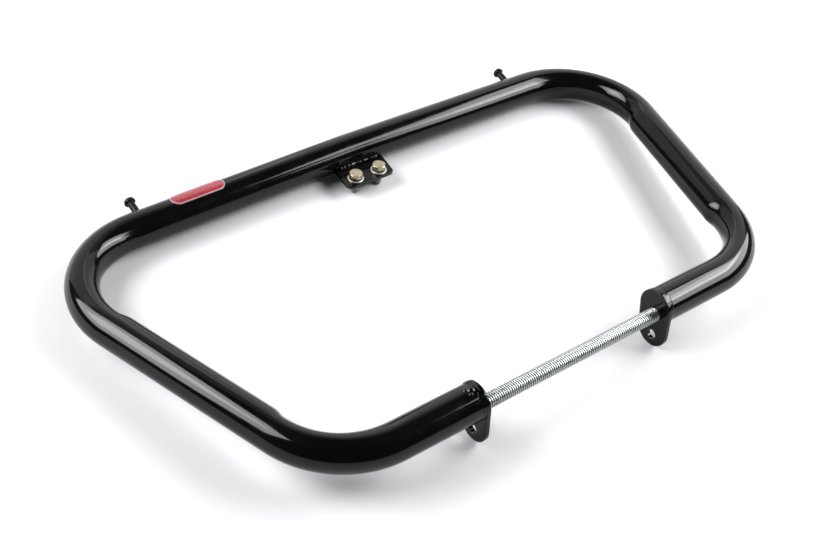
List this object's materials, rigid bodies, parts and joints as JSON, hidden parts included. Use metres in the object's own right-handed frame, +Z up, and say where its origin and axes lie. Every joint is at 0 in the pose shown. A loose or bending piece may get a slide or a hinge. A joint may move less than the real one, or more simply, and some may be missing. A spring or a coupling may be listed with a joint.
{
  "type": "motorcycle engine guard",
  "caption": "Bent tube crash bar for a motorcycle: an open trapezium loop with welded end plates, a threaded stud between them and a bolted frame bracket.",
  "frame": {"origin": "middle of the part's box, on the floor it rests on", "axes": "+X across the motorcycle, +Y from the two legs back to the long rail, +Z up as it rests on its two tabs and two bolt ends"},
  "size_m": [0.6304, 0.3696, 0.0552],
  "materials": {
    "guard_tube": "gloss black enamel",
    "end_plate_left": "gloss black enamel",
    "end_plate_right": "gloss black enamel",
    "end_weld_left": "gloss black enamel",
    "end_weld_right": "gloss black enamel",
    "frame_bracket": "gloss black enamel",
    "bracket_weld_upper": "gloss black enamel",
    "bracket_weld_lower": "gloss black enamel",
    "bracket_washer_left": "yellow zinc plate",
    "bracket_washer_right": "yellow zinc plate",
    "bracket_bolt_left": "yellow zinc plate",
    "bracket_bolt_right": "yellow zinc plate",
    "threaded_stud": "bright zinc plate",
    "rail_screw_left": "black oxide",
    "rail_screw_right": "black oxide",
    "badge": "red with a pale rim"
  },
  "bodies": {
    "root": {"guard_tube": "guard_tube", "end_plate_left": "end_plate_left", "end_plate_right": "end_plate_right", "end_weld_left": "end_weld_left", "end_weld_right": "end_weld_right", "frame_bracket": "frame_bracket", "bracket_weld_upper": "bracket_weld_upper", "bracket_weld_lower": "bracket_weld_lower", "bracket_washer_left": "bracket_washer_left", "bracket_washer_right": "bracket_washer_right", "bracket_bolt_left": "bracket_bolt_left", "bracket_bolt_right": "bracket_bolt_right", "threaded_stud": "threaded_stud", "rail_screw_left": "rail_screw_left", "rail_screw_right": "rail_screw_right", "badge": "badge"}
  },
  "joints": []
}
